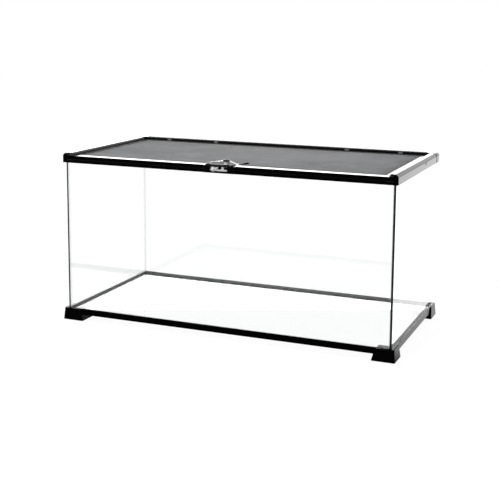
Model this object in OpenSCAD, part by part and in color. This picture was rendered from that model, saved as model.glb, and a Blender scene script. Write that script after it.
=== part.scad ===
// Glass reptile terrarium with a sliding screen lid.
// Millimetres, +Z up, the front faces -Y, and the origin is on the floor below the middle.

/* [Glass tank] */
// Outside width of the glass box
tank_w = 600; // [450:5:900]
// Outside depth of the glass box
tank_d = 290; // [240:5:450]
// Height of the four upright panes
pane_h = 276; // [200:2:450]
// Thickness of the upright panes
pane_t = 3; // [3:0.5:5]
// Thickness of the floor pane
floor_t = 4; // [3:0.5:6]
// Leg of the silicone fillet in the corners
seal_leg = 3.5; // [2:0.5:5]
// Silicone joint between two panes
seal_gap = 0.4; // [0.2:0.1:0.8]

/* [Base frame] */
// Height of the feet below the base rails
foot_drop = 12; // [9:0.5:20]
// Height of the base rails
base_h = 10.5; // [9:0.5:16]
// How far the rails stand outside the glass
rail_out = 4; // [3:0.5:6]
// Width of the shelf that carries the glass
shelf_w = 11; // [9:0.5:16]
// Thickness of the shelf
shelf_t = 3; // [2:0.5:4]
// Room between a pane and the wall beside it
glass_gap = 0.2; // [0.1:0.05:0.3]

/* [Feet] */
// Length of a foot along each base rail, at its top
foot_len = 30.5; // [29:0.5:45]
// How far the foot top stands proud of the rails
foot_proud = 1.8; // [1.2:0.1:3]
// How far the foot spreads outwards from top to bottom
foot_flare = 1.7; // [0.5:0.1:4]
// How far the foot spreads inwards from top to bottom
foot_spread = 5.5; // [2:0.5:10]
// Radius of the upright edges of the foot
foot_round = 2; // [1:0.25:3]
// Radius of the rubber pad
pad_r = 8; // [6:0.5:9]
// Thickness of the rubber pad
pad_t = 1.2; // [0.8:0.1:2.5]

/* [Top frame] */
// Height of the side and rear top rails
top_h = 17; // [16:0.5:22]
// Depth of the groove that takes the glass
groove_h = 3.2; // [3:0.1:5]
// Width of the top rails, from outside to inside
top_w = 15; // [14:0.5:20]
// Thickness of the web above the glass
web_t = 2.8; // [2.2:0.1:3.5]
// How far the web reaches in past the rail, to carry the lid
web_in = 4; // [3:0.5:8]
// Radius of the outer shoulder of the top rails
shoulder_r = 6.5; // [3:0.5:8]
// Radius of the inner top edge of the top rails
lip_r = 3; // [1:0.25:4]
// Thickness of the inner wall of the groove
inner_wall = 2.8; // [2:0.1:3.5]
// Depth of the lid groove in the side rails
slot_d = 6; // [5:0.5:7]
// Height of the lid groove in the side rails
slot_h = 2.8; // [2.6:0.1:3.2]
// Length of a corner cap along the front and rear rails
cap_len = 20; // [18:1:30]
// Depth of a front corner cap, over the end of its side rail
cap_plate = 6.5; // [5:0.5:9]
// Step down from the top of a front cap to its part above the lid groove
cap_step = 2.5; // [1:0.25:4]
// How far the corner caps stand proud of the rails
cap_proud = 0.5; // [0.3:0.1:1]

/* [Lid] */
// Height of the lid rails
lid_h = 6.4; // [6:0.2:7.5]
// Depth of the front lid rail
lid_front_w = 19; // [17:0.5:26]
// Width of the side and rear lid rails
lid_rail_w = 12.4; // [11:0.2:18]
// Wall of the hollow lid rails
lid_wall = 1.2; // [1:0.1:1.4]
// Room between the lid and the rails beside it
lid_gap = 1.6; // [1:0.1:2.5]
// Room under the lid
lid_under = 0.3; // [0.2:0.05:0.5]
// Thickness of the tongue that runs in the side grooves
tongue_t = 2; // [1.6:0.1:2.2]
// Room at the tip of the tongue
tongue_gap = 1; // [0.6:0.1:1.5]
// Thickness of the screen
mesh_t = 0.5; // [0.4:0.1:0.8]
// Bays of the screen from left to right
mesh_bays = 12; // [6:1:12]
// Rows of bays from front to rear
mesh_rows = 6; // [3:1:12]
// Width of the bars between the bays
mesh_bar = 6; // [3:0.5:10]
// Width of the rebate that holds the edge of the screen
rebate_w = 5; // [4:0.5:6]
// Thickness of the bead that holds the screen down
bead_t = 0.8; // [0.6:0.1:1]

/* [Latch] */
// Width of the latch housing
latch_w = 56; // [55:1:66]
// Left end of the window in the housing, from the middle
window_left = 16.5; // [16.5:0.5:20]
// Right end of the window in the housing, from the middle
window_right = 15; // [14:0.5:17]
// How far the housing stands in front of the lid rail
latch_proud = 3.5; // [3.2:0.1:5]
// Height of the bar above and below the window
window_bar = 1.4; // [1:0.1:1.8]
// Distance of the turning post from the middle
post_x = 9; // [8:0.5:10]
// Distance of the turning post from the front of the lid
post_in = 8; // [7.5:0.25:9]
// Radius of the turning post
post_r = 2; // [1.5:0.1:2.5]
// Turn of the lever from open to locked, in degrees
lever_turn = 40; // [20:1:44]
// Radius of the knob
knob_r = 6; // [5:0.25:8]
// Height of the knob
knob_h = 3; // [2.75:0.25:8]
// Width of the lever plate
lever_w = 11; // [9:0.5:14]
// Thickness of the lever plate
lever_t = 1.2; // [1:0.1:1.6]
// Reach of the finger tab to the right of the post
tab_reach = 40; // [30:1:50]
// Reach of the short wing to the left of the post
wing_reach = 36; // [26:1:38]
// Radius of the thumb stud on the bolt
stud_r = 4.3; // [3.5:0.1:4.4]

/* [Hidden] */

$fn = 48;
eps = 0.01;
fit = 0.1; // room round a screw, a post or a key
slip = 0.3; // room between pieces that move past each other

// Heights, from the floor up
base_z = foot_drop;
shelf_z = base_z + shelf_t;
base_top = base_z + base_h;
pane_top = shelf_z + pane_h;
top_z = pane_top - groove_h;
top_top = top_z + top_h;
web_z = pane_top + glass_gap;
web_top = web_z + web_t;
slot_top = web_top + slot_h;
lid_z = web_top + lid_under;
lid_top = lid_z + lid_h;
mesh_z = lid_top - mesh_t - bead_t;

// Plan sizes, measured from the middle
half_w = tank_w / 2;
half_d = tank_d / 2;
rail_x = half_w + rail_out;
rail_y = half_d + rail_out;
in_x = rail_x - top_w;
in_y = rail_y - top_w;
lid_x = in_x - lid_gap;
lid_rear = in_y - lid_gap;
lid_front = -rail_y;
tongue_x = in_x + slot_d - tongue_gap;

// A quarter turn maps the front of the tank to each side in turn
module at_side(turn) rotate([0, 0, turn]) children();

// A bar that runs along X with its outline in Y and Z; +Y is outwards
module bar(len, place) {
    translate([-len / 2, 0, 0]) translate(place)
        rotate([90, 0, 90]) linear_extrude(len) children();
}

// ---------- glass ----------

module pane_solid(w, t, h) translate([-w / 2, -t / 2, 0]) cube([w, t, h]);

module glass_floor() {
    color("honeydew", 0.4)
        translate([-half_w + pane_t + seal_gap, -half_d + pane_t + seal_gap, shelf_z])
            cube([tank_w - 2 * (pane_t + seal_gap), tank_d - 2 * (pane_t + seal_gap), floor_t]);
}

// Front and rear panes run between the two side panes
module long_pane() {
    color("honeydew", 0.4) translate([0, 0, shelf_z])
        pane_solid(tank_w - 2 * (pane_t + seal_gap), pane_t, pane_h);
}
module glass_front() translate([0, -half_d + pane_t / 2, 0]) long_pane();
module glass_rear() translate([0, half_d - pane_t / 2, 0]) long_pane();

module short_pane() {
    color("honeydew", 0.4) translate([0, 0, shelf_z])
        rotate([0, 0, 90]) pane_solid(tank_d, pane_t, pane_h);
}
module glass_left() translate([-half_w + pane_t / 2, 0, 0]) short_pane();
module glass_right() translate([half_w - pane_t / 2, 0, 0]) short_pane();

// Silicone bead with a hollow face in each upright corner
module corner_seals() {
    seal_z = shelf_z + floor_t + seal_leg;
    color("gainsboro", 0.6)
        for (sx = [-1, 1], sy = [-1, 1])
            translate([sx * (half_w - pane_t), sy * (half_d - pane_t), seal_z])
                scale([-sx, -sy, 1]) linear_extrude(top_z - seal_z) seal_outline();
}
module seal_outline() {
    difference() {
        square(seal_leg);
        translate([seal_leg, seal_leg]) circle(seal_leg - 0.5);
    }
}

// The same bead runs round the floor pane
module floor_seal() {
    color("gainsboro", 0.6) translate([0, 0, shelf_z + floor_t]) {
        for (side = [0, 180]) at_side(side)
            seal_run(tank_w - 2 * pane_t - 2 * seal_leg, half_d - pane_t);
        for (side = [90, 270]) at_side(side)
            seal_run(tank_d - 2 * pane_t - 2 * seal_leg, half_w - pane_t);
    }
}
module seal_run(len, out) {
    bar(len, [0, -out, 0]) seal_outline();
}

// ---------- base frame ----------

// An angle section: the wall stands outside the glass, the shelf carries it
module base_outline() {
    translate([-shelf_w, 0]) square([shelf_w + rail_out, shelf_t]);
    translate([glass_gap, 0]) square([rail_out - glass_gap, base_h]);
}

// Both ends are mitred, so that four rails close a rectangle
module mitred(half_len, out) {
    reach = rail_out + shelf_w;
    intersection() {
        children();
        linear_extrude(top_top)
            polygon([[-half_len, -out], [half_len, -out],
                [half_len - reach, -out + reach], [-half_len + reach, -out + reach]]);
    }
}

module base_rail(half_len, out) {
    color("black") difference() {
        mitred(half_len, out)
            bar(2 * half_len, [0, -out + rail_out, base_z]) scale([-1, 1]) base_outline();
        for (side = [-1, 1])
            translate([side * (half_len - screw_along), -out + screw_in, base_z - eps])
                cylinder(r = screw_r + fit, h = shelf_t + 2 * eps);
    }
}
module base_rail_front() base_rail(rail_x, rail_y);
module base_rail_rear() at_side(180) base_rail(rail_x, rail_y);
module base_rail_left() at_side(270) base_rail(rail_y, rail_x);
module base_rail_right() at_side(90) base_rail(rail_y, rail_x);

// ---------- feet ----------

screw_r = 1.8; // shank of a foot screw
screw_head_r = 3.4;
screw_head_h = 2;
screw_along = 26; // from the end of the rail to its screw
screw_in = 9; // from the outside of the rail to its screw
head_z = base_z - 4; // underside of the screw heads sits up in the foot

// Foot for the corner at -X and -Y, as a flared block with the rails let into it
module foot_block() {
    color("black") difference() {
        hull() {
            foot_slab(pad_t, foot_proud + foot_flare, foot_spread);
            foot_slab(base_top - 1, foot_proud, 0);
        }
        // room for the rails and the glass above the shelf
        translate([-rail_x, -rail_y, base_z]) {
            cube([2 * foot_len, rail_out + shelf_w, base_h]);
            cube([rail_out + shelf_w, 2 * foot_len, base_h]);
            translate([0, 0, shelf_t]) cube([2 * foot_len, 2 * foot_len, base_h]);
        }
        for (hole = foot_holes()) translate([hole[0], hole[1], 0]) {
            cylinder(r = screw_r + fit, h = base_top);
            cylinder(r = screw_head_r + fit, h = head_z);
        }
    }
}
module foot_slab(z, out, spread) {
    for (x = [-rail_x - out + foot_round, -rail_x + foot_len + spread - foot_round],
            y = [-rail_y - out + foot_round, -rail_y + foot_len + spread - foot_round])
        translate([x, y, z]) cylinder(r = foot_round, h = 1, $fn = 32);
}
function foot_holes() = [
    [-rail_x + screw_along, -rail_y + screw_in],
    [-rail_x + screw_in, -rail_y + screw_along]
];

module foot_front_left() foot_block();
module foot_front_right() mirror([1, 0, 0]) foot_block();
module foot_rear_left() mirror([0, 1, 0]) foot_block();
module foot_rear_right() mirror([1, 0, 0]) mirror([0, 1, 0]) foot_block();

module each_corner() {
    for (mx = [0, 1], my = [0, 1])
        mirror([mx, 0, 0]) mirror([0, my, 0]) children();
}

module foot_pads() {
    pad_at = (foot_len + foot_spread) / 2;
    color("dimgray") each_corner()
        translate([-rail_x + pad_at, -rail_y + pad_at, 0]) cylinder(r = pad_r, h = pad_t);
}

module foot_screws() {
    color("silver") each_corner()
        for (hole = foot_holes()) translate([hole[0], hole[1], 0]) {
            translate([0, 0, head_z - screw_head_h]) cylinder(r = screw_head_r, h = screw_head_h);
            translate([0, 0, head_z]) cylinder(r = screw_r, h = shelf_z - head_z - slip);
        }
}

// ---------- top frame ----------

// Outline of the side and rear rails; X is outwards from the glass, Y is up from the pane top
module top_outline() {
    low = -groove_h;
    high = low + top_h;
    difference() {
        union() {
            translate([rail_out - top_w + lip_r, low])
                square([top_w - lip_r - shoulder_r, top_h]);
            translate([rail_out - top_w, low]) square([top_w - shoulder_r, top_h - lip_r]);
            translate([rail_out - top_w + lip_r, high - lip_r]) circle(lip_r);
            translate([rail_out - top_w, low]) square([top_w, top_h - shoulder_r]);
            translate([rail_out - shoulder_r, high - shoulder_r]) circle(shoulder_r);
            translate([rail_out - top_w - web_in, glass_gap]) square([top_w, web_t]);
        }
        // groove for the glass, open below
        translate([-pane_t - glass_gap, low - 1])
            square([pane_t + 2 * glass_gap, groove_h + glass_gap + 1]);
        // the rail stops inside the inner wall of that groove
        translate([rail_out - top_w - web_in - 1, low - 1])
            square([top_w + web_in + 1 - rail_out - pane_t - glass_gap - inner_wall,
                groove_h + glass_gap + 1]);
        // groove for the tongue of the lid
        translate([rail_out - top_w - 1, glass_gap + web_t]) square([slot_d + 1, slot_h]);
        hollow_outline();
    }
}
// The hollow of the extruded rail
module hollow_outline() {
    wall = 2;
    low = glass_gap + web_t + slot_h + wall;
    high = top_h - groove_h - wall;
    translate([rail_out - top_w + wall, low])
        square([top_w - shoulder_r - wall, high - low]);
}

// Outline of the low front rail, which the lid slides over
module front_outline() {
    intersection() {
        top_outline();
        translate([-tank_d, -groove_h - 1]) square([2 * tank_d, groove_h + 1 + glass_gap + web_t]);
    }
}

// A top rail between its two corner caps
module top_rail(half_len, out) {
    bar(2 * half_len, [0, -out + rail_out, pane_top]) scale([-1, 1]) children();
}
module top_rail_front() {
    color("black") top_rail(rail_x - cap_len, rail_y) front_outline();
}
module top_rail_rear() {
    color("black") at_side(180) top_rail(rail_x - cap_len, rail_y) top_outline();
}
rail_screw_at = 42; // from the middle towards the rear
rail_screw_z = web_top + slot_h + 1.6;
rail_screw_l = 7;
rail_head_r = 3.2;
rail_head_in = 0.8;
rail_head_h = 1.2;
module side_rail() {
    color("silver") difference() {
        at_side(90) bar(2 * rail_y - cap_plate - cap_len,
                [(cap_plate - cap_len) / 2, -rail_x + rail_out, pane_top])
            scale([-1, 1]) top_outline();
        // room for the end of the front pane
        translate([0, -half_d - glass_gap, top_z - 1])
            cube([half_w - pane_t, pane_t + 2 * glass_gap, groove_h + glass_gap + 1]);
        // countersink and hole of the rail screw, near the rear
        translate([rail_x, rail_screw_at, rail_screw_z]) rotate([0, -90, 0]) {
            cylinder(r = rail_head_r + fit, h = rail_head_in + rail_head_h);
            cylinder(r = screw_r + fit, h = rail_screw_l + 1);
        }
    }
}
module top_rail_right() side_rail();
module top_rail_left() mirror([1, 0, 0]) side_rail();

module rail_screws() {
    color("silver") for (mx = [0, 1]) mirror([mx, 0, 0]) at_side(90)
        translate([rail_screw_at, -rail_x + rail_head_in, rail_screw_z]) rotate([-90, 0, 0]) {
            cylinder(r = rail_head_r, h = rail_head_h);
            cylinder(r = screw_r, h = rail_screw_l - rail_head_in);
        }
}

// A rear corner cap: the rail outline carried round the corner at +X and +Y
module cap_solid() {
    difference() {
        intersection() {
            cap_bar(rail_x - cap_len, [1, 0]);
            cap_bar(rail_y - cap_len, [0, 1]);
        }
        glass_corner();
        // room for the lid
        translate([0, 0, web_top]) cube([in_x, in_y, top_top]);
    }
}
// What both kinds of cap leave free: the glass from below, and the mouth of the tank
module glass_corner() {
    cut_h = groove_h + glass_gap + 1;
    groove = pane_t + 2 * glass_gap;
    translate([0, 0, top_z - 1]) {
        translate([0, half_d - pane_t - glass_gap, 0]) cube([half_w + glass_gap, groove, cut_h]);
        translate([half_w - pane_t - glass_gap, 0, 0]) cube([groove, half_d + glass_gap, cut_h]);
        cube([half_w - pane_t - inner_wall, half_d - pane_t - inner_wall, cut_h]);
    }
    cube([in_x - web_in, in_y - web_in, 2 * top_top]);
}
// A length of capped rail: rounded outside shoulder, full depth inwards
module cap_bar(start, way) {
    p = cap_proud;
    out = way[0] == 1 ? rail_y + p : rail_x + p;
    span = (way[0] == 1 ? rail_x : rail_y) + p - start;
    deep = cap_len + p;
    turn = way[0] == 1 ? [90, 0, 90] : [90, 0, 0];
    place = way[0] == 1 ? [start, out, 0] : [out, start + span, 0];
    translate(place) rotate(turn) linear_extrude(span) scale([-1, 1]) {
        translate([0, top_z]) square([deep, top_h + p - shoulder_r]);
        translate([shoulder_r, top_z]) square([deep - shoulder_r, top_h + p]);
        translate([shoulder_r, top_top + p - shoulder_r]) circle(shoulder_r);
    }
}
module cap_rear_right() color("black") cap_solid();
module cap_rear_left() color("black") mirror([1, 0, 0]) cap_solid();

// A front corner cap is open where the lid and its tongue slide out
module front_cap() {
    color("black") mirror([0, 1, 0]) difference() {
        intersection() {
            cap_bar(rail_y - cap_plate, [0, 1]);
            translate([rail_x - cap_len, 0, 0])
                cube([cap_len + cap_proud, rail_y + cap_proud, 2 * top_top]);
        }
        // step above the lid groove
        translate([0, 0, top_top - cap_step]) cube([in_x + slot_d, tank_d, top_top]);
        glass_corner();
        // the lid slides out over the web, with its tongue in the slot
        translate([0, 0, web_top]) cube([in_x, tank_d, top_top]);
        translate([0, 0, web_top]) cube([in_x + slot_d, tank_d, slot_h]);
    }
}
module cap_front_right() front_cap();
module cap_front_left() mirror([1, 0, 0]) front_cap();

// Soft buffers on the rear rail, which the closed lid meets
buffer_w = 8;
buffer_at = [0.223, 0.393]; // of the width of the tank, from the middle
buffer_z = lid_z + 2.5;
buffer_h = top_top - 1 - buffer_z;
module lid_buffers() {
    color("lightgray") for (side = [-1, 1], at = buffer_at)
        translate([side * at * tank_w - buffer_w / 2, lid_rear + slip, buffer_z])
            cube([buffer_w, lid_gap - slip, buffer_h]);
}

// ---------- lid ----------

// Outline of a hollow lid rail; X runs out from the screen, Y is up
step_h = lid_h - mesh_t - bead_t - 2 * lid_wall; // clear height below the rebate
module lid_outline(w) {
    difference() {
        square([w, lid_h]);
        translate([-1, lid_h - mesh_t - bead_t]) square([rebate_w + 1, lid_h]);
        translate([lid_wall, lid_wall]) square([w - 2 * lid_wall, step_h]);
        translate([rebate_w + lid_wall, lid_wall])
            square([w - rebate_w - 2 * lid_wall, lid_h - 2 * lid_wall]);
    }
}

// Ways in for the corner keys, through the inner wall of the front or rear rail
module key_ways(y) {
    for (side = [-1, 1])
        translate([side * key_x - key_w / 2 - fit, y - lid_wall - 1, lid_z + lid_wall])
            cube([key_w + 2 * fit, 2 * lid_wall + 2, step_h]);
}

module lid_rail_front() {
    slot_half = crank_r * sin(lever_turn / 2) + pin_r + 1;
    inner = lid_front + lid_front_w;
    color("black") difference() {
        bar(2 * lid_x, [0, inner, lid_z]) scale([-1, 1]) lid_outline(lid_front_w);
        key_ways(inner);
        // bearing of the turning post, and the slot that its crank swings in
        translate([post_x, lid_front + post_in, lid_z + lid_wall])
            cylinder(r = post_r + fit, h = lid_h);
        translate([post_x - slot_half, lid_front - 1, crank_z - slip])
            cube([2 * slot_half, lid_wall + 2, crank_t + 2 * slip]);
        for (x = plate_screws) translate([x, lid_front + post_in, lid_top - 2 * lid_wall])
            cylinder(r = plate_screw_r + fit, h = 3 * lid_wall);
    }
}
module lid_rail_rear() {
    inner = lid_rear - lid_rail_w;
    color("black") difference() {
        bar(2 * lid_x, [0, inner, lid_z]) lid_outline(lid_rail_w);
        key_ways(inner);
    }
}
// Side rails stand between the front and rear rails and carry the tongue
module lid_side() {
    near = lid_front + lid_front_w;
    far = lid_rear - lid_rail_w;
    color("black") translate([0, far, lid_z]) rotate([90, 0, 0]) linear_extrude(far - near) {
        translate([lid_x - lid_rail_w, 0]) lid_outline(lid_rail_w);
        translate([lid_x - eps, 0]) square([tongue_x - lid_x + eps, tongue_t]);
    }
}
module lid_rail_right() lid_side();
module lid_rail_left() mirror([1, 0, 0]) lid_side();

// Corner keys: one leg in the front or rear rail, one in the side rail
key_w = lid_rail_w - rebate_w - 2 * lid_wall - 2 * fit;
key_h = step_h - 2 * fit;
key_x = lid_x - lid_wall - fit - key_w / 2;
key_leg = 18; // reach of a key into each rail
key_in = 3; // from the inner wall to the cross leg
key_cross = 5; // width of the cross leg
module lid_corner_keys() {
    color("dimgray") translate([0, 0, lid_z + lid_wall + fit]) for (mx = [0, 1])
        mirror([mx, 0, 0]) {
            translate([key_x, lid_front + lid_front_w, 0]) mirror([0, 1, 0]) corner_key();
            translate([key_x, lid_rear - lid_rail_w, 0]) corner_key();
        }
}
// +Y runs into the front or rear rail, -Y into the side rail
module corner_key() {
    translate([-key_w / 2, -key_leg, 0]) cube([key_w, key_leg + key_in + key_cross, key_h]);
    translate([key_w / 2 - key_leg, key_in, 0]) cube([key_leg, key_cross, key_h]);
}

// Plan rectangle between the rail rebates, grown outwards by edge
module screen_plan(edge) {
    x = lid_x - lid_rail_w + edge;
    y0 = lid_front + lid_front_w - edge;
    y1 = lid_rear - lid_rail_w + edge;
    translate([-x, y0]) square([2 * x, y1 - y0]);
}
module screen() {
    edge = rebate_w - slip;
    bay_x = (2 * (lid_x - lid_rail_w) - mesh_bar) / mesh_bays;
    bay_y = (lid_rear - lid_front - lid_rail_w - lid_front_w - mesh_bar) / mesh_rows;
    color("gray") translate([0, 0, mesh_z]) linear_extrude(mesh_t) difference() {
        screen_plan(edge);
        for (i = [0:mesh_bays - 1], j = [0:mesh_rows - 1])
            translate([-lid_x + lid_rail_w + mesh_bar + i * bay_x,
                    lid_front + lid_front_w + mesh_bar + j * bay_y])
                square([bay_x - mesh_bar, bay_y - mesh_bar]);
    }
}
module screen_beads() {
    color("black") translate([0, 0, mesh_z + mesh_t]) linear_extrude(bead_t - slip / 2)
        difference() {
            screen_plan(rebate_w - slip);
            screen_plan(1);
        }
}

// ---------- latch ----------

latch_low = top_z + 0.4;
latch_y = lid_front - latch_proud;
window_z = latch_low + window_bar;
window_top = lid_top - window_bar;
crank_r = post_in + 0.85; // from the post to the crank pin
crank_t = 2;
crank_z = lid_z + lid_wall + 0.9;
crank_rest = -lever_turn / 2; // the crank swings evenly to both sides of straight ahead
bolt_t = 1.2;
bolt_y = lid_front - slip - bolt_t; // front face of the bolt
bolt_low = window_z + 2;
bolt_bar_h = 2.4;
bolt_travel = 2 * crank_r * sin(lever_turn / 2);
pin_r = 1;
pin_x = post_x + crank_r * sin(crank_rest);
stud_x = -11.5;
stud_z = (window_z + window_top) / 2;
keeper_t = 0.8;
end_wall = 1.5; // ends of the housing, beside its pockets
keeper_x = window_right + 4;
keeper_w = 6.5;
bolt_right = keeper_x - 1; // right end of the bolt, just short of the keeper
bolt_left = -latch_w / 2 + end_wall + 3;

// Housing on the front of the lid, hanging in front of the low front rail
module latch_housing() {
    skin = bolt_y - 2 * slip - keeper_t; // inside of the front skin
    color("black") difference() {
        union() {
            translate([-latch_w / 2, latch_y, latch_low])
                cube([latch_w, latch_proud - slip, lid_top - latch_low]);
            translate([-latch_w / 2, latch_y, lid_z]) cube([latch_w, latch_proud, lid_h]);
        }
        translate([-window_left, latch_y - 1, window_z])
            cube([window_left + window_right, latch_proud + 2, window_top - window_z]);
        // left pocket guides the end of the bolt, right pocket also clears the keeper
        translate([-latch_w / 2 + end_wall, skin, bolt_low - slip])
            cube([latch_w / 2, latch_proud, lid_z - bolt_low + slip]);
        translate([0, skin, window_z])
            cube([latch_w / 2 - end_wall, latch_proud, lid_z - window_z]);
    }
}

// Hook on the front rail; the bolt slides in behind its front leg
module latch_keeper() {
    leg_y = bolt_y - slip - keeper_t;
    low = bolt_low - slip - keeper_t;
    color("silver") translate([keeper_x, leg_y, low]) {
        cube([keeper_w, lid_front - leg_y, keeper_t]);
        cube([keeper_w, keeper_t, bolt_bar_h + slip + keeper_t]);
    }
}

// Sliding bolt: a long bar, a thumb stud, a horn beside it and a notched tail
module latch_bolt() {
    tail = pin_r + slip + 0.9;
    color("silver") difference() {
        union() {
            translate([bolt_left, bolt_y, bolt_low])
                cube([bolt_right - bolt_left, bolt_t, bolt_bar_h]);
            translate([stud_x, bolt_y + bolt_t, stud_z]) rotate([90, 0, 0]) {
                cylinder(r = stud_r - 0.6, h = bolt_t);
                linear_extrude(bolt_t) bolt_horn();
                translate([0, 0, bolt_t]) dome(stud_r, latch_proud - slip - bolt_t);
            }
            translate([pin_x - tail, bolt_y, bolt_low])
                cube([2 * tail, bolt_t, crank_z + crank_t - bolt_low]);
        }
        // notch for the crank
        translate([pin_x - pin_r - slip, bolt_y - 1, crank_z - slip])
            cube([2 * (pin_r + slip), bolt_t + 2, lid_h]);
    }
}
// Short arm that rises beside the stud
module bolt_horn() {
    tip = [8.5, 2.6];
    tip_r = 1.3;
    polygon([[0, -1.5], [tip[0] + 0.4, tip[1] - tip_r], [tip[0] - 0.4, tip[1] + tip_r], [0, 2]]);
    translate(tip) circle(tip_r);
}
// Low dome, standing up from its seat
module dome(r, h) {
    ball_r = (r * r + h * h) / (2 * h);
    rotate_extrude() intersection() {
        translate([0, h - ball_r]) circle(ball_r, $fn = 96);
        square([r, h]);
    }
}

// Bright plate on top of the lid, which the post turns in
module latch_plate() {
    color("silver") difference() {
        translate([plate_x0, lid_front + 1, lid_top])
            cube([plate_x1 - plate_x0, lid_front_w - rebate_w - 2, plate_t]);
        translate([post_x, lid_front + post_in, lid_top - eps])
            cylinder(r = post_r + fit, h = plate_t + 2 * eps);
        for (x = plate_screws) translate([x, lid_front + post_in, lid_top - eps])
            cylinder(r = plate_screw_r + fit, h = plate_t + 2 * eps);
    }
}
plate_t = 1;
plate_x0 = -27;
plate_x1 = 24;
plate_screws = [-22, 19.5];
plate_screw_r = 1.2;
module latch_screws() {
    color("silver") for (x = plate_screws)
        translate([x, lid_front + post_in, lid_top]) {
            translate([0, 0, -2 * lid_wall]) cylinder(r = plate_screw_r, h = plate_t + 2 * lid_wall);
            translate([0, 0, plate_t]) cylinder(r = 2, h = 0.6);
        }
}

// The lever turns on one post; everything below is carried by it
lever_z = lid_top + plate_t + 5.2; // underside of the lever plate at the post
wing_z = lid_top + plate_t + 0.9; // underside of the plate at its low points
tab_rise = 5.4; // rise of the finger tab from its low point
flat_half = 6; // half of the flat under the knob
low_x = 18; // from the post to the low point on the right

module lever_post() {
    color("silver") translate([post_x, lid_front + post_in, 0]) {
        translate([0, 0, crank_z]) cylinder(r = post_r, h = lever_z + lever_t + 2 - crank_z);
        translate([0, 0, lid_top + plate_t + slip])
            cylinder(r = post_r + 2, h = lever_z - lid_top - plate_t - slip);
        rotate([0, 0, crank_rest]) translate([0, -crank_r, crank_z]) {
            translate([-pin_r, 0, 0]) cube([2 * pin_r, crank_r, crank_t]);
            cylinder(r = pin_r, h = crank_t);
        }
    }
}

// Bent strip: left wing, flat under the knob, low point, rising finger tab
function lever_line() = [
    [-wing_reach, wing_z], [-flat_half, lever_z], [flat_half, lever_z],
    [low_x, wing_z], [low_x + 4, wing_z], [tab_reach, wing_z + tab_rise]
];
module lever_strip() {
    line = lever_line();
    up = [for (p = line) [p[0], p[1] + lever_t]];
    polygon(concat(line, [for (i = [len(up) - 1:-1:0]) up[i]]));
}
module lever_plate() {
    color("silver") translate([post_x, lid_front + post_in, 0]) difference() {
        translate([0, lever_w / 2, 0]) rotate([90, 0, 0]) linear_extrude(lever_w) lever_strip();
        translate([0, 0, lever_z - 1]) cylinder(r = post_r + fit, h = lever_t + 2);
        lever_waist();
    }
}
// The strip narrows towards both of its ends
module lever_waist() {
    cut = 2.5;
    for (side = [0, 1]) mirror([0, side, 0])
        translate([0, 0, lid_top]) linear_extrude(20) {
            polygon([[-wing_reach - 1, lever_w / 2 - cut], [-flat_half - 1, lever_w / 2],
                [-flat_half - 1, lever_w], [-wing_reach - 1, lever_w]]);
            polygon([[tab_reach + 1, lever_w / 2 - cut], [flat_half + 1, lever_w / 2],
                [flat_half + 1, lever_w], [tab_reach + 1, lever_w]]);
        }
}

// Dark grip moulded under the finger tab
module lever_grip() {
    grip_w = lever_w - 6;
    start = low_x + 7;
    rise = tab_rise / (tab_reach - low_x - 4);
    base = wing_z + rise * (start - low_x - 4);
    color("black") translate([post_x, lid_front + post_in + grip_w / 2, 0])
        rotate([90, 0, 0]) linear_extrude(grip_w)
            polygon([[start, base], [tab_reach, base + rise * (tab_reach - start)],
                [tab_reach, base + rise * (tab_reach - start) - 2.8],
                [tab_reach - 2, base + rise * (tab_reach - start) - 3.4]]);
}

module lever_knob() {
    base = lever_z + lever_t;
    knob_side = knob_h / 2;
    color("black") translate([post_x, lid_front + post_in, base]) difference() {
        union() {
            cylinder(r = knob_r, h = knob_side);
            translate([0, 0, knob_side]) dome(knob_r, knob_h - knob_side);
        }
        translate([0, 0, -eps]) cylinder(r = post_r + fit, h = 2 + fit);
    }
}

// ---------- each node in turn ----------

glass_floor();
glass_front();
glass_rear();
glass_left();
glass_right();
corner_seals();
floor_seal();
base_rail_front();
base_rail_rear();
base_rail_left();
base_rail_right();
foot_front_left();
foot_front_right();
foot_rear_left();
foot_rear_right();
foot_pads();
foot_screws();
top_rail_front();
top_rail_rear();
top_rail_left();
top_rail_right();
cap_front_left();
cap_front_right();
cap_rear_left();
cap_rear_right();
rail_screws();
lid_buffers();
lid_rail_front();
lid_rail_rear();
lid_rail_left();
lid_rail_right();
lid_corner_keys();
screen();
screen_beads();
latch_housing();
latch_keeper();
latch_bolt();
latch_plate();
latch_screws();
lever_post();
lever_plate();
lever_grip();
lever_knob();
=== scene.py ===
from math import radians

import bmesh
import bpy
from mathutils import Matrix, Vector


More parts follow.
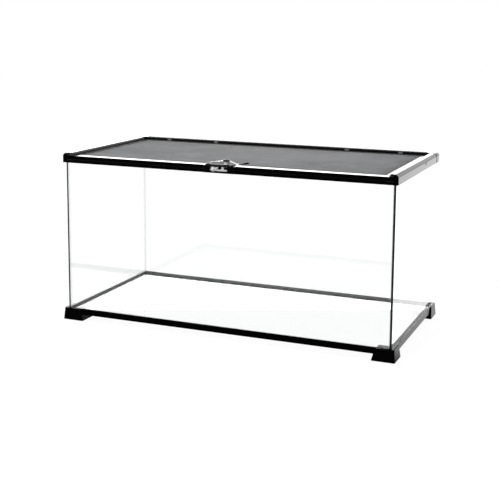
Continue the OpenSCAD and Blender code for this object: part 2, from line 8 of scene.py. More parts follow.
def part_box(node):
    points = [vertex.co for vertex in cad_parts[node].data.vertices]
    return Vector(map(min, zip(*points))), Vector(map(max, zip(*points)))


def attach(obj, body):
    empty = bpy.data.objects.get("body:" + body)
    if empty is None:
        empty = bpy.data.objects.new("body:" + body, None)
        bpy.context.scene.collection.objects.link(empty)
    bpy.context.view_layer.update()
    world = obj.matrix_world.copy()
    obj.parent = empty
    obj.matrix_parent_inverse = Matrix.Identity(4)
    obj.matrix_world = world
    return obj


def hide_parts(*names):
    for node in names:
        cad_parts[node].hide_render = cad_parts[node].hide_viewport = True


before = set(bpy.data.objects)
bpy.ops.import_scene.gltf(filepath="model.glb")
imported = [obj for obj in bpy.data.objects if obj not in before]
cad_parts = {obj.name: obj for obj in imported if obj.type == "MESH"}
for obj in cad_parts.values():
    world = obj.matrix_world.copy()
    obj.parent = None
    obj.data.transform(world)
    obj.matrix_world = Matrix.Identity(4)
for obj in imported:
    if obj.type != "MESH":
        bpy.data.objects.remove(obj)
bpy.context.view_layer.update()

# ---------------------------------------------------------------------------
# Camera: a long studio lens, to the right of the tank and a little above its
# lid, with a small vertical shift that keeps the uprights close to parallel.
CAMERA_PLACE = (0.6857, -1.6860, 0.5446)
CAMERA_TURN = 22.316  # degrees to the left, from looking straight at the front
CAMERA_DIP = 8.764  # degrees below level
CAMERA_ROLL = 0.424  # degrees
camera_data = bpy.data.cameras.new("studio_camera")
camera_data.sensor_fit = "HORIZONTAL"
camera_data.sensor_width = 36
camera_data.lens = 73.584
camera_data.shift_y = -0.15
camera_data.clip_end = 60
camera = bpy.data.objects.new("studio_camera", camera_data)
bpy.context.scene.collection.objects.link(camera)
camera.matrix_world = (
    Matrix.Translation(CAMERA_PLACE)
    @ Matrix.Rotation(radians(CAMERA_TURN), 4, "Z")
    @ Matrix.Rotation(radians(90 - CAMERA_DIP), 4, "X")
    @ Matrix.Rotation(radians(CAMERA_ROLL), 4, "Z")
)
bpy.context.scene.camera = camera

# ---------------------------------------------------------------------------
# Floor: a pale seamless sweep. Its own glow towards the lens keeps it white,
# and the part of it that is lit by the lamps keeps the shadow of the tank.


def new_material(name):
    """A new material, with its node tree and its Principled BSDF."""
    material = bpy.data.materials.new(name)
    material.use_nodes = True
    tree = material.node_tree
    return material, tree, tree.nodes["Principled BSDF"]


def add(tree, kind, **settings):
    """Adds a shader node and sets its plain properties."""
    node = tree.nodes.new(kind)
    for key, value in settings.items():
        setattr(node, key, value)
    return node


def feed(tree, socket, value):
    """Links a node's input to another node's output, or sets it to a constant."""
    if isinstance(value, bpy.types.NodeSocket):
        tree.links.new(value, socket)
    else:
        socket.default_value = value


def maths(tree, operation, *values, clamp=False):
    """One step of arithmetic on outputs or constants. Returns its output."""
    node = add(tree, "ShaderNodeMath", operation=operation, use_clamp=clamp)
    for socket, value in zip(node.inputs, values):
        feed(tree, socket, value)
    return node.outputs[0]


def remap(tree, value, from_low, from_high, to_low, to_high):
    """Stretches one range of values over another and clamps it. Returns its output."""
    node = add(tree, "ShaderNodeMapRange")
    for socket, number in zip(node.inputs, (value, from_low, from_high, to_low, to_high)):
        feed(tree, socket, number)
    return node.outputs["Result"]


def noise(tree, scale, detail, roughness=0.5):
    """Noise in object coordinates. Returns its output."""
    node = add(tree, "ShaderNodeTexNoise")
    place = add(tree, "ShaderNodeTexCoord")
    tree.links.new(place.outputs["Object"], node.inputs["Vector"])
    feed(tree, node.inputs["Scale"], scale)
    node.inputs["Detail"].default_value = detail
    node.inputs["Roughness"].default_value = roughness
    return node.outputs["Fac"]


def object_coordinates(tree):
    """Splits the place on the object into its X, Y and Z outputs."""
    split = add(tree, "ShaderNodeSeparateXYZ")
    tree.links.new(add(tree, "ShaderNodeTexCoord").outputs["Object"], split.inputs[0])
    return split.outputs


def mesh_object(name, bm):
    """Turns a bmesh into an object at the origin."""
    mesh = bpy.data.meshes.new(name)
    bm.to_mesh(mesh)
    bm.free()
    piece = bpy.data.objects.new(name, mesh)
    bpy.context.scene.collection.objects.link(piece)
    return piece


FLOOR_HALF = 6.0
DARK_UP_TO = -0.16  # Y, just in front of the tank
LIGHT_FROM = -0.06  # Y, under the front of the tank
GLOW_SEEN = 0.92
GLOW_SEEN_THROUGH_GLASS = 0.95
GLOW_MIRRORED = 1.65
floor_bm = bmesh.new()
bmesh.ops.create_grid(floor_bm, x_segments=4, y_segments=4, size=FLOOR_HALF)
floor = mesh_object("studio_floor", floor_bm)
floor_paint, floor_tree, floor_shader = new_material("pale_floor_paint")
floor_shader.inputs["Roughness"].default_value = 0.9
floor_shader.inputs["Specular IOR Level"].default_value = 0.0
floor_shader.inputs["Emission Color"].default_value = (1, 1, 1, 1)
floor_mottle = noise(floor_tree, scale=0.25, detail=2.0)
floor_tone = remap(floor_tree, floor_mottle, 0.0, 1.0, 0.13, 0.15)
floor_ray = add(floor_tree, "ShaderNodeLightPath").outputs
# A ray bent by glass counts as glossy too, so only mirrored rays are kept here
floor_mirrored = maths(floor_tree, "SUBTRACT", floor_ray["Is Glossy Ray"],
                       floor_ray["Is Transmission Ray"], clamp=True)
# Polished parts see a dark floor in front of the tank and a light one behind it
floor_behind = remap(floor_tree, object_coordinates(floor_tree)["Y"],
                     DARK_UP_TO, LIGHT_FROM, 0.0, 1.0)
floor_front = maths(floor_tree, "SUBTRACT", 1.0, floor_behind)
floor_unseen = maths(floor_tree, "MULTIPLY", floor_front, floor_mirrored)
floor_kept = maths(floor_tree, "SUBTRACT", 1.0, floor_unseen)
floor_shade = maths(floor_tree, "MULTIPLY", floor_tone, floor_kept)
floor_tree.links.new(floor_shade, floor_shader.inputs["Base Color"])
# The glow has one level for each way in which the lens can see it
floor_direct = maths(floor_tree, "MULTIPLY", floor_ray["Is Camera Ray"], GLOW_SEEN)
floor_through = maths(floor_tree, "MULTIPLY_ADD", floor_ray["Is Transmission Ray"],
                      GLOW_SEEN_THROUGH_GLASS, floor_direct)
floor_glossy = maths(floor_tree, "MULTIPLY", floor_mirrored, floor_behind)
floor_glow = maths(floor_tree, "MULTIPLY_ADD", floor_glossy, GLOW_MIRRORED, floor_through)
floor_tree.links.new(floor_glow, floor_shader.inputs["Emission Strength"])
floor.data.materials.append(floor_paint)

# ---------------------------------------------------------------------------
# Studio light: a white surround that is darker on the camera's side, a soft
# bank overhead, a long strip bank behind, a small fill in front for the latch
# and a faint low bank behind that puts a light band on the right lid rail.


def mix_numbers(tree, factor, first, second):
    """Goes from the first number to the second by a factor. Returns its output."""
    node = add(tree, "ShaderNodeMix", data_type="FLOAT")
    for index, value in ((0, factor), (2, first), (3, second)):
        feed(tree, node.inputs[index], value)
    return node.outputs[0]


CAMERA_SIDE = (0.36, -0.92, 0.12)  # direction
SKY_UNSEEN = 0.72  # strength for light that is scattered, not seen or mirrored
world = bpy.data.worlds.new("studio_surround")
bpy.context.scene.world = world
world.use_nodes = True
sky = world.node_tree
sky.nodes.clear()
sky_out = add(sky, "ShaderNodeOutputWorld")
sky_light = add(sky, "ShaderNodeBackground")
sky_light.inputs["Color"].default_value = (1, 1, 1, 1)
sky_way = add(sky, "ShaderNodeTexCoord")
sky_axis = add(sky, "ShaderNodeVectorMath", operation="DOT_PRODUCT")
sky_axis.inputs[1].default_value = CAMERA_SIDE
sky.links.new(sky_way.outputs["Generated"], sky_axis.inputs[0])
sky_ray = add(sky, "ShaderNodeLightPath").outputs
# What polished parts mirror: white behind, almost black on the camera's side
sky_dark = remap(sky, sky_axis.outputs["Value"], 0.35, 0.85, 1.0, 0.01)
sky_plain = mix_numbers(sky, sky_ray["Is Glossy Ray"], SKY_UNSEEN, sky_dark)
# The lens sees white, and a little more of it through glass, to make up for the tint
sky_seen = maths(sky, "MAXIMUM", sky_ray["Is Camera Ray"], sky_ray["Is Transmission Ray"])
sky_white = maths(sky, "MULTIPLY_ADD", sky_ray["Is Transmission Ray"], 0.05, 1.0)
sky_level = mix_numbers(sky, sky_seen, sky_plain, sky_white)
sky.links.new(sky_level, sky_light.inputs["Strength"])
sky.links.new(sky_light.outputs[0], sky_out.inputs[0])


def soft_bank(name, place, target, width, height, watts):
    """An area lamp turned towards a point, out of sight of the lens."""
    lamp_data = bpy.data.lights.new(name, "AREA")
    lamp_data.shape = "RECTANGLE"
    lamp_data.size = width
    lamp_data.size_y = height
    lamp_data.energy = watts
    lamp = bpy.data.objects.new(name, lamp_data)
    bpy.context.scene.collection.objects.link(lamp)
    turn = (Vector(target) - Vector(place)).to_track_quat("-Z", "Y")
    lamp.matrix_world = Matrix.Translation(place) @ turn.to_matrix().to_4x4()
    lamp.visible_camera = False
    lamp.visible_transmission = False
    return lamp


overhead = soft_bank("overhead_bank", place=(-0.8, -0.9, 2.2), target=(0, 0, 0.1),
                     width=2.2, height=1.6, watts=11)
overhead.visible_glossy = False
rear_strip = soft_bank("rear_strip_bank", place=(-1.25, 2.9, 0.72), target=(0, 0, 0.3),
                       width=3.4, height=0.44, watts=17)
rear_strip.visible_transmission = True  # so the floor pane mirrors it too
front_fill = soft_bank("front_fill", place=(-0.5, -1.3, 0.5), target=(0, -0.15, 0.3),
                       width=0.3, height=0.3, watts=5)
front_fill.visible_glossy = False
soft_bank("low_rear_bank", place=(0.56, 0.98, 0.47), target=(0.32, 0, 0.32),
          width=0.55, height=0.3, watts=0.15)
bpy.context.scene.view_settings.view_transform = "Standard"

# ---------------------------------------------------------------------------
# Glass panes: clear float glass. Each pane has ground edges, which look dark
# green, and clear silicone holds the panes to each other.


def effect_group(name, numbers, results):
    """Starts a shader node group. Returns it, the sockets it reads and the ones it fills."""
    group = bpy.data.node_groups.new(name, "ShaderNodeTree")
    for label, value in numbers.items():
        socket = group.interface.new_socket(label, in_out="INPUT", socket_type="NodeSocketFloat")
        socket.default_value = value
    for label, kind in results.items():
        group.interface.new_socket(label, in_out="OUTPUT", socket_type=kind)
    return group, add(group, "NodeGroupInput").outputs, add(group, "NodeGroupOutput").inputs


# Smudges: broad soft cloudiness with fine specks in it, as hands and dust leave
smudges, smudge_in, smudge_out = effect_group(
    "smudges", {"Scale": 12.0, "Low": 0.0, "High": 0.1}, {"Value": "NodeSocketFloat"}
)
smudge_cloud = noise(smudges, smudge_in["Scale"], detail=6.0, roughness=0.62)
smudge_value = remap(smudges, smudge_cloud, 0.35, 0.75, smudge_in["Low"], smudge_in["High"])
smudges.links.new(smudge_value, smudge_out["Value"])


def place_group(tree, group, **numbers):
    """Puts an effect into a material with that material's own values. Returns its outputs."""
    node = add(tree, "ShaderNodeGroup", node_tree=group)
    for label, value in numbers.items():
        node.inputs[label].default_value = value
    return node.outputs


def mix_colours(tree, factor, first, second):
    """Goes from the first colour to the second by a factor. Returns its output."""
    node = add(tree, "ShaderNodeMix", data_type="RGBA")
    tree.links.new(factor, node.inputs[0])
    node.inputs[6].default_value = first
    node.inputs[7].default_value = second
    return node.outputs[2]


def finish_piece(piece, body, slot_name, *replaced):
    """Puts a finished piece on its body and hides the CAD parts that it replaces."""
    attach(piece, body)
    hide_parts(*replaced)
    return piece


GLASS_TINT = (0.992, 1.0, 0.996, 1)
glass_paint, glass_tree, glass_shader = new_material("clear_float_glass")
glass_shader.inputs["Base Color"].default_value = GLASS_TINT
glass_shader.inputs["Transmission Weight"].default_value = 1.0
glass_shader.inputs["IOR"].default_value = 1.5
glass_haze = place_group(glass_tree, smudges, Scale=9.0, Low=0.0, High=0.012)
glass_tree.links.new(glass_haze["Value"], glass_shader.inputs["Roughness"])

EDGE_GREEN = (0.006, 0.014, 0.011, 1)
EDGE_PALE = (0.016, 0.034, 0.027, 1)
EDGE_SEEN_FROM_INSIDE = 0.12  # how solid an edge is when seen through its own pane
edge_paint, edge_tree, edge_shader = new_material("ground_glass_edge")
edge_streak = place_group(edge_tree, smudges, Scale=60.0, Low=0.0, High=1.0)
edge_colour = mix_colours(edge_tree, edge_streak["Value"], EDGE_GREEN, EDGE_PALE)
edge_tree.links.new(edge_colour, edge_shader.inputs["Base Color"])
edge_shader.inputs["Roughness"].default_value = 0.32
edge_side = add(edge_tree, "ShaderNodeNewGeometry")
edge_solid = remap(edge_tree, edge_side.outputs["Backfacing"],
                   0.0, 1.0, 1.0, EDGE_SEEN_FROM_INSIDE)
edge_tree.links.new(edge_solid, edge_shader.inputs["Alpha"])

SEAMED_EDGE = 0.0004
for pane in ("glass_floor", "glass_front", "glass_rear", "glass_left", "glass_right"):
    low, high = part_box(pane)
    size = high - low
    thin_axis = min(range(3), key=lambda axis: size[axis])
    pane_bm = bmesh.new()
    bmesh.ops.create_cube(pane_bm, size=1)
    bmesh.ops.scale(pane_bm, vec=size, verts=pane_bm.verts)
    bmesh.ops.translate(pane_bm, vec=(low + high) / 2, verts=pane_bm.verts)
    bmesh.ops.bevel(pane_bm, geom=pane_bm.edges[:], offset=SEAMED_EDGE, segments=1,
                    profile=0.5, affect="EDGES", material=-1)
    pane_bm.normal_update()
    for face in pane_bm.faces:
        face.material_index = 0 if abs(face.normal[thin_axis]) > 0.99 else 1
    piece = mesh_object("pane_" + pane.split("_")[1], pane_bm)
    piece.data.materials.append(glass_paint)
    piece.data.materials.append(edge_paint)
    finish_piece(piece, "tank", "glass", pane)

# ---------------------------------------------------------------------------
# Silicone beads: clear sealant, tooled hollow in the corners and round the
# floor pane. It is slightly milky and a little uneven along its length.
silicone_paint, silicone_tree, silicone_shader = new_material("clear_silicone")
silicone_shader.inputs["Base Color"].default_value = (0.88, 0.92, 0.91, 1)
silicone_shader.inputs["Alpha"].default_value = 0.07
silicone_shader.inputs["IOR"].default_value = 1.41
silicone_haze = place_group(silicone_tree, smudges, Scale=45.0, Low=0.22, High=0.45)
silicone_tree.links.new(silicone_haze["Value"], silicone_shader.inputs["Roughness"])
silicone_bump = add(silicone_tree, "ShaderNodeBump")
silicone_bump.inputs["Strength"].default_value = 0.25
silicone_bump.inputs["Distance"].default_value = 0.0004
silicone_tree.links.new(silicone_haze["Value"], silicone_bump.inputs["Height"])
silicone_tree.links.new(silicone_bump.outputs["Normal"], silicone_shader.inputs["Normal"])


def evaluated_mesh(piece):
    """The mesh of a piece after its modifiers."""
    bpy.context.view_layer.update()
    evaluated = piece.evaluated_get(bpy.context.evaluated_depsgraph_get())
    return bpy.data.meshes.new_from_object(evaluated)


def flatten_shading(piece):
    """Lets large faces keep their own normals, so that they mirror like flats."""
    weigh = piece.modifiers.new("face_weight", "WEIGHTED_NORMAL")
    weigh.weight = 100
    weigh.keep_sharp = True
    weighed = evaluated_mesh(piece)
    piece.modifiers.clear()
    piece.data = weighed


WELD = 2e-6  # vertices closer than this are one
FLAT_ANGLE = radians(1)  # faces that meet at less than this are one flat face
BROKEN_ANGLE = radians(28)  # outer edges sharper than this are broken
CREASE_ANGLE = radians(32)  # edges sharper than this stay sharp in the shading


def dressed(node, paint, body, slot_name, edge=0.0003, segments=2):
    """A clean copy of a CAD node, with its outer edges broken to a width given by edge."""
    bm = bmesh.new()
    bm.from_mesh(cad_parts[node].data)
    bmesh.ops.remove_doubles(bm, verts=bm.verts[:], dist=WELD)
    bmesh.ops.dissolve_limit(bm, angle_limit=FLAT_ANGLE, verts=bm.verts[:], edges=bm.edges[:])
    if edge:
        sharp = [e for e in bm.edges if len(e.link_faces) == 2 and e.is_convex
                 and e.calc_face_angle() > BROKEN_ANGLE]
        bmesh.ops.bevel(bm, geom=sharp, offset=edge, segments=segments, profile=0.5,
                        affect="EDGES", material=-1, clamp_overlap=True)
    bmesh.ops.remove_doubles(bm, verts=bm.verts[:], dist=WELD)
    for face in bm.faces:
        face.material_index = 0
        face.smooth = True
    piece = mesh_object(node + "_finished", bm)
    piece.data.set_sharp_from_angle(angle=CREASE_ANGLE)
    piece.data.materials.clear()
    piece.data.materials.append(paint)
    flatten_shading(piece)
    return finish_piece(piece, body, slot_name, node)


# The beads shrink a little, so that no face of theirs lies in a face of the glass
SEAL_CLEARANCE = 0.00006
for node in ("corner_seals", "floor_seal"):
    bead = dressed(node, silicone_paint, "tank", "silicone", edge=0)
    outward = [vertex.normal.copy() for vertex in bead.data.vertices]
    for vertex, normal in zip(bead.data.vertices, outward):
        vertex.co -= normal * SEAL_CLEARANCE

# ---------------------------------------------------------------------------
# Base rails: extruded angle with a black gloss coat, mitred at the corners.
# Fine draw lines run along each rail under the coat.

# Draw lines: streaks along one axis, X or Y, that vary tone and catch light
LINES_FINENESS = 900.0
LINES_STRETCH = 0.006  # scale along the rail, where 1 is the scale across it
draw_lines, line_in, line_out = effect_group(
    "draw_lines", {"Along X": 1.0}, {"Value": "NodeSocketFloat", "Normal": "NodeSocketVector"}
)
line_place = object_coordinates(draw_lines)
line_along_y = maths(draw_lines, "SUBTRACT", 1.0, line_in["Along X"])
line_join = add(draw_lines, "ShaderNodeCombineXYZ")
for axis, across in (("X", line_along_y), ("Y", line_in["Along X"])):
    line_little = maths(draw_lines, "MULTIPLY", line_place[axis], LINES_STRETCH)
    line_scaled = maths(draw_lines, "MULTIPLY_ADD", line_place[axis], across, line_little)
    draw_lines.links.new(line_scaled, line_join.inputs[axis])
draw_lines.links.new(line_place["Z"], line_join.inputs["Z"])
line_noise = add(draw_lines, "ShaderNodeTexNoise")
line_noise.inputs["Scale"].default_value = LINES_FINENESS
line_noise.inputs["Detail"].default_value = 3.0
line_bump = add(draw_lines, "ShaderNodeBump")
line_bump.inputs["Strength"].default_value = 0.03
line_bump.inputs["Distance"].default_value = 0.00002
draw_lines.links.new(line_join.outputs[0], line_noise.inputs["Vector"])
draw_lines.links.new(line_noise.outputs["Fac"], line_bump.inputs["Height"])
draw_lines.links.new(line_noise.outputs["Fac"], line_out["Value"])
draw_lines.links.new(line_bump.outputs["Normal"], line_out["Normal"])

# Edge wear and painted edge highlight: a mask that is 1 on outer edges, broken up by noise. A
# rounded normal turns away from the true one there, so their dot product falls. On most parts it
# pales the edges as wear; on the latch housing it paints on the highlights that its edges catch.
edge_wear_and_highlight, rim_in, rim_out = effect_group(
    "edge_wear_and_highlight", {"Width": 0.0006, "Amount": 0.5}, {"Mask": "NodeSocketFloat"}
)
rim_round = add(edge_wear_and_highlight, "ShaderNodeBevel", samples=4)
rim_true = add(edge_wear_and_highlight, "ShaderNodeNewGeometry")
rim_turn = add(edge_wear_and_highlight, "ShaderNodeVectorMath", operation="DOT_PRODUCT")
edge_wear_and_highlight.links.new(rim_in["Width"], rim_round.inputs["Radius"])
edge_wear_and_highlight.links.new(rim_round.outputs["Normal"], rim_turn.inputs[0])
edge_wear_and_highlight.links.new(rim_true.outputs["Normal"], rim_turn.inputs[1])
rim_found = remap(edge_wear_and_highlight, rim_turn.outputs["Value"], 0.995, 0.90, 0.0, 1.0)
rim_broken = maths(edge_wear_and_highlight, "MULTIPLY", rim_found, noise(edge_wear_and_highlight, 160.0, detail=2.0))
rim_mask = maths(edge_wear_and_highlight, "MULTIPLY", rim_broken, rim_in["Amount"])
edge_wear_and_highlight.links.new(rim_mask, rim_out["Mask"])

GLOSS_BLACK = (0.0016, 0.0016, 0.0018, 1)
WORN_BLACK = (0.016, 0.016, 0.018, 1)


def coated_metal(name, rough_low, rough_high, along_x=1.0, specular=0.5):
    """Black painted extrusion: draw lines under a gloss coat, and paler edges."""
    material, tree, shader = new_material(name)
    lines = place_group(tree, draw_lines, **{"Along X": along_x})
    edge_mask = place_group(tree, edge_wear_and_highlight, Width=0.0006, Amount=0.4)
    colour = mix_colours(tree, edge_mask["Mask"], GLOSS_BLACK, WORN_BLACK)
    rough = remap(tree, lines["Value"], 0.3, 0.7, rough_low, rough_high)
    tree.links.new(colour, shader.inputs["Base Color"])
    tree.links.new(rough, shader.inputs["Roughness"])
    tree.links.new(lines["Normal"], shader.inputs["Normal"])
    shader.inputs["Specular IOR Level"].default_value = specular
    return material


base_along_x = coated_metal("black_base_coat_x", 0.12, 0.20, specular=0.004)
base_along_y = coated_metal("black_base_coat_y", 0.12, 0.20, along_x=0.0)
# The narrow tops of the end rails are polished by hands, their walls are duller
base_end = base_along_y.node_tree
base_facing = add(base_end, "ShaderNodeTexCoord")
base_upward = add(base_end, "ShaderNodeSeparateXYZ")
base_end.links.new(base_facing.outputs["Normal"], base_upward.inputs[0])
base_shine = remap(base_end, base_upward.outputs["Z"], 0.5, 0.9, 0.03, 0.4)
base_end.links.new(base_shine, base_end.nodes["Principled BSDF"].inputs["Specular IOR Level"])
for side in ("front", "rear"):
    dressed("base_rail_" + side, base_along_x, "tank", "black_gloss")
for side in ("left", "right"):
    dressed("base_rail_" + side, base_along_y, "tank", "black_gloss")

# ---------------------------------------------------------------------------
# Feet: injection-moulded corner blocks in gloss black plastic, flared at the
# bottom. The rails sit in them, and two screws from below hold each one.

# Moulded grain: a fine even texture with a little slow unevenness
moulded, mould_in, mould_out = effect_group(
    "moulded_grain", {"Scale": 700.0, "Depth": 0.00003}, {"Normal": "NodeSocketVector"}
)
mould_bump = add(moulded, "ShaderNodeBump")
mould_bump.inputs["Strength"].default_value = 0.35
mould_noise = noise(moulded, mould_in["Scale"], detail=4.0)
moulded.links.new(mould_in["Depth"], mould_bump.inputs["Distance"])
moulded.links.new(mould_noise, mould_bump.inputs["Height"])
moulded.links.new(mould_bump.outputs["Normal"], mould_out["Normal"])


def moulded_plastic(name, deep, edge_tone, rough_low, rough_high, grain=700.0, depth=0.00003,
                    edge_amount=0.5, specular=0.5):
    """Moulded plastic or rubber: fine grain, uneven gloss and paler edges."""
    material, tree, shader = new_material(name)
    texture = place_group(tree, moulded, Scale=grain, Depth=depth)
    # the edge colour is wear on most parts and a painted highlight on the latch housing
    edge_mask = place_group(tree, edge_wear_and_highlight, Width=0.0008, Amount=edge_amount)
    cloud = place_group(tree, smudges, Scale=30.0, Low=rough_low, High=rough_high)
    colour = mix_colours(tree, edge_mask["Mask"], deep, edge_tone)
    tree.links.new(colour, shader.inputs["Base Color"])
    tree.links.new(cloud["Value"], shader.inputs["Roughness"])
    tree.links.new(texture["Normal"], shader.inputs["Normal"])
    shader.inputs["Specular IOR Level"].default_value = specular
    return material


MOULDED_BLACK = (0.002, 0.002, 0.0022, 1)
foot_plastic = moulded_plastic("moulded_black_foot", MOULDED_BLACK, (0.03, 0.03, 0.032, 1),
                               0.12, 0.24, specular=0.04)
for corner in ("front_left", "front_right", "rear_left", "rear_right"):
    dressed("foot_" + corner, foot_plastic, "tank", "foot", edge=0.0007, segments=3)

# Rubber pads, pressed into the underside of the feet
pad_rubber = moulded_plastic("black_pad_rubber", (0.018, 0.018, 0.018, 1),
                             (0.05, 0.05, 0.05, 1), 0.75, 0.95, grain=1400.0, depth=0.00006)
dressed("foot_pads", pad_rubber, "tank", "pad", edge=0.0003)

# ---------------------------------------------------------------------------
# Screws: zinc-plated pan heads with a cross recess. The foot screws sit up in
# the feet, the rail screws in a countersink near the rear of each side rail.


def plated_steel(name, tone, rough_low, rough_high, metallic=1.0):
    """Plated steel with uneven gloss and a little tarnish."""
    material, tree, shader = new_material(name)
    cloud = place_group(tree, smudges, Scale=60.0, Low=rough_low, High=rough_high)
    tarnish = place_group(tree, smudges, Scale=138.0, Low=0.0, High=1.0)
    tarnished = tuple(0.82 * channel for channel in tone[:3]) + (1,)
    colour = mix_colours(tree, tarnish["Value"], tone, tarnished)
    tree.links.new(colour, shader.inputs["Base Color"])
    tree.links.new(cloud["Value"], shader.inputs["Roughness"])
    shader.inputs["Metallic"].default_value = metallic
    return material


zinc = plated_steel("zinc_plate", (0.56, 0.57, 0.58, 1), 0.18, 0.38)


def cross_recess(piece, place, outward, reach, width, depth):
    """Cuts a cross recess into a screw head; outward is the direction it faces."""
    cutter_bm = bmesh.new()
    turn = Vector(outward).to_track_quat("Z", "Y").to_matrix().to_4x4()
    for wide in ((2 * reach, width, 2 * depth), (width, 2 * reach, 2 * depth)):
        made = bmesh.ops.create_cube(cutter_bm, size=1)
        bmesh.ops.scale(cutter_bm, vec=wide, verts=made["verts"])
    bmesh.ops.transform(cutter_bm, matrix=Matrix.Translation(place) @ turn, verts=cutter_bm.verts)
    cutter = mesh_object("recess_cutter", cutter_bm)
    cut = piece.modifiers.new("recess", "BOOLEAN")
    cut.operation = "DIFFERENCE"
    cut.solver = "EXACT"
    cut.use_self = True
    cut.object = cutter
    cut_mesh = evaluated_mesh(piece)
    piece.modifiers.clear()
    piece.data = cut_mesh
    bpy.data.objects.remove(cutter)


def solid_boxes(node):
    """Lowest corner, highest corner and middle of each separate solid of a CAD node."""
    bm = bmesh.new()
    bm.from_mesh(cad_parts[node].data)
    bmesh.ops.remove_doubles(bm, verts=bm.verts[:], dist=WELD)
    left = set(bm.verts)
    found = []
    while left:
        stack = [left.pop()]
        island = []
        while stack:
            vert = stack.pop()
            island.append(vert.co.copy())
            for edge in vert.link_edges:
                other = edge.other_vert(vert)
                if other in left:
                    left.remove(other)
                    stack.append(other)
        low = Vector([min(place[axis] for place in island) for axis in range(3)])
        high = Vector([max(place[axis] for place in island) for axis in range(3)])
        found.append((low, high, (low + high) / 2))
    bm.free()
    return sorted(found, key=lambda box: tuple(box[0]))


foot_screws = dressed("foot_screws", zinc, "tank", "screw", edge=0.0003)
for low, high, middle in solid_boxes("foot_screws"):
    cross_recess(foot_screws, (middle.x, middle.y, low.z), outward=(0, 0, -1),
                 reach=0.0019, width=0.0008, depth=0.0011)
rail_screws = dressed("rail_screws", zinc, "tank", "screw", edge=0.0002)
for low, high, middle in solid_boxes("rail_screws"):
    face_x, way = (high.x, 1) if middle.x > 0 else (low.x, -1)
    cross_recess(rail_screws, (face_x, middle.y, middle.z), outward=(way, 0, 0),
                 reach=0.0018, width=0.0008, depth=0.0008)

# ---------------------------------------------------------------------------
# Top frame: extruded rails between moulded corner caps, all gloss black. The
# rear rail has the same coat, worn a little duller by the sliding lid.
black_along_x = coated_metal("black_gloss_coat_x", 0.08, 0.16)
black_along_y = coated_metal("black_gloss_coat_y", 0.08, 0.16, along_x=0.0)
dull_along_x = coated_metal("black_dull_coat_x", 0.30, 0.45, specular=0.15)
dressed("top_rail_front", black_along_x, "tank", "black_gloss")
dressed("top_rail_rear", dull_along_x, "tank", "black_gloss")
for side in ("left", "right"):
    dressed("top_rail_" + side, black_along_y, "tank", "side_rail")
cap_plastic = moulded_plastic("moulded_black_cap", MOULDED_BLACK, (0.02, 0.02, 0.022, 1),
                              0.10, 0.20)
for corner in ("front_left", "front_right", "rear_left", "rear_right"):
    dressed("cap_" + corner, cap_plastic, "tank", "black_gloss", edge=0.0008, segments=3)
buffer_foam = moulded_plastic("grey_buffer_foam", (0.16, 0.16, 0.16, 1),
                              (0.25, 0.25, 0.25, 1), 0.7, 0.9, grain=1600.0, depth=0.0001)
dressed("lid_buffers", buffer_foam, "tank", "buffer", edge=0.0002)

# ---------------------------------------------------------------------------
# Lid: hollow extruded rails with a black gloss coat, joined by plastic corner
# keys. The side rails carry the tongue that runs in the grooves of the tank.
lid_along_y = coated_metal("black_lid_coat_y", 0.12, 0.20, along_x=0.0, specular=0.08)
for side in ("front", "rear"):
    dressed("lid_rail_" + side, black_along_x, "lid", "lid_frame")
for side in ("left", "right"):
    dressed("lid_rail_" + side, lid_along_y, "lid", "lid_frame")
key_plastic = moulded_plastic("grey_key_plastic", (0.05, 0.05, 0.05, 1),
                              (0.09, 0.09, 0.09, 1), 0.45, 0.6)
dressed("lid_corner_keys", key_plastic, "lid", "inner_plastic", edge=0.0002)
bead_rubber = moulded_plastic("black_spline_rubber", (0.012, 0.012, 0.012, 1),
                              (0.03, 0.03, 0.03, 1), 0.55, 0.75, grain=1500.0)
dressed("screen_beads", bead_rubber, "lid", "inner_plastic", edge=0.00015)

# ---------------------------------------------------------------------------
# Screen: woven steel wire with a dark coat, cut to the rebate of the lid. One
# set of wires lies over the other, and the bead holds their ends.
WIRE_DARK = (0.35, 0.354, 0.361, 1)
WIRE_PALE = (0.46, 0.464, 0.472, 1)
wire_coat, wire_tree, wire_shader = new_material("dark_wire_coat")
wire_cloud = place_group(wire_tree, smudges, Scale=18.0, Low=0.0, High=1.0)
wire_rough = place_group(wire_tree, smudges, Scale=90.0, Low=0.55, High=0.75)
wire_colour = mix_colours(wire_tree, wire_cloud["Value"], WIRE_DARK, WIRE_PALE)
wire_tree.links.new(wire_colour, wire_shader.inputs["Base Color"])
wire_tree.links.new(wire_rough["Value"], wire_shader.inputs["Roughness"])
wire_shader.inputs["Specular IOR Level"].default_value = 0.2

WIRE_PITCH = 0.0016
WIRE_RADIUS = 0.00016
screen_low, screen_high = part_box("screen")
screen_size = screen_high - screen_low
screen_middle = (screen_low + screen_high) / 2


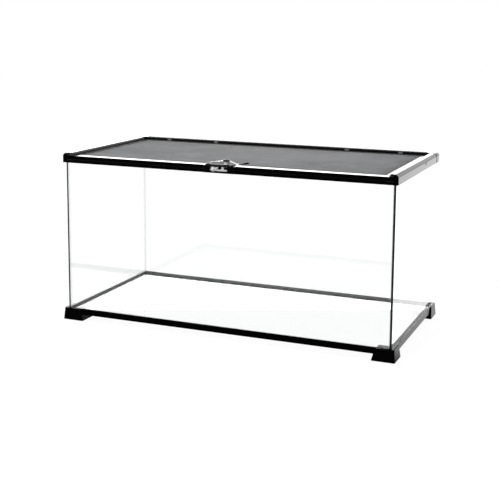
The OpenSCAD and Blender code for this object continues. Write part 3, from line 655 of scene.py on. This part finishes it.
def wire_set(name, long_axis, level):
    """A row of straight wires along one axis, 0 or 1, spaced along the other."""
    cross_axis = 1 - long_axis
    count = int(screen_size[cross_axis] / WIRE_PITCH)
    spare = screen_size[cross_axis] - (count - 1) * WIRE_PITCH
    bm = bmesh.new()
    bmesh.ops.create_cone(bm, cap_ends=True, segments=6, radius1=WIRE_RADIUS,
                          radius2=WIRE_RADIUS, depth=screen_size[long_axis])
    turn = Matrix.Rotation(radians(90), 3, "Y" if long_axis == 0 else "X")
    bmesh.ops.rotate(bm, matrix=turn, verts=bm.verts)
    start = Vector((screen_middle.x, screen_middle.y, level))
    start[cross_axis] = screen_low[cross_axis] + spare / 2
    bmesh.ops.translate(bm, vec=start, verts=bm.verts)
    first = bm.verts[:] + bm.edges[:] + bm.faces[:]
    step = Vector((0, 0, 0))
    for number in range(1, count):
        step[cross_axis] = number * WIRE_PITCH
        copied = bmesh.ops.duplicate(bm, geom=first)["geom"]
        verts = [part for part in copied if isinstance(part, bmesh.types.BMVert)]
        bmesh.ops.translate(bm, vec=step, verts=verts)
    for face in bm.faces:
        face.smooth = len(face.verts) == 4
    piece = mesh_object(name, bm)
    piece.data.materials.append(wire_coat)
    return finish_piece(piece, "lid", "screen", "screen")


wire_set("screen_wires_long", 0, screen_middle.z - WIRE_RADIUS)
wire_set("screen_wires_cross", 1, screen_middle.z + WIRE_RADIUS)

# ---------------------------------------------------------------------------
# Latch: a moulded housing on the front of the lid, with a bright bolt behind
# its window, and the keeper for the bolt on the front rail of the tank.
# The housing's pale edge colour and strong edge mask are a painted highlight on its edges
housing_plastic = moulded_plastic("moulded_black_housing", MOULDED_BLACK,
                                  (0.10, 0.10, 0.105, 1), 0.12, 0.24, edge_amount=0.8)
dressed("latch_housing", housing_plastic, "lid", "housing", edge=0.0004)
# The chrome has a near-white base colour and little metal in it: the white is a painted
# reflection that stands in for the bright surroundings real chrome mirrors
chrome_painted_bright = plated_steel("chrome_with_painted_reflection", (0.95, 0.95, 0.96, 1), 0.24, 0.38, metallic=0.12)
dressed("latch_bolt", chrome_painted_bright, "bolt", "bright_steel", edge=0.00015)
dressed("latch_keeper", chrome_painted_bright, "tank", "bright_steel", edge=0.00015)
plate_coat = coated_metal("black_plate_coat", 0.35, 0.5, specular=0.2)
dressed("latch_plate", plate_coat, "lid", "base_plate", edge=0.0002)
latch_screws = dressed("latch_screws", zinc, "lid", "screw", edge=0.0002)
for low, high, middle in solid_boxes("latch_screws"):
    cross_recess(latch_screws, (middle.x, middle.y, high.z), outward=(0, 0, 1),
                 reach=0.0013, width=0.0005, depth=0.0004)

# ---------------------------------------------------------------------------
# Lever: a bent plated strip on a turning post, with a round knob on top and a
# dark grip under the finger tab.
dressed("lever_post", chrome_painted_bright, "lever", "bright_steel", edge=0.00015)
strip_plate = plated_steel("nickel_strip", (0.74, 0.74, 0.75, 1), 0.10, 0.24)
dressed("lever_plate", strip_plate, "lever", "plated_strip", edge=0.0003)
knob_plastic = moulded_plastic("moulded_black_knob", MOULDED_BLACK, (0.03, 0.03, 0.03, 1),
                               0.14, 0.26)
dressed("lever_knob", knob_plastic, "lever", "knob", edge=0.0003)
dressed("lever_grip", knob_plastic, "lever", "knob", edge=0.0003)
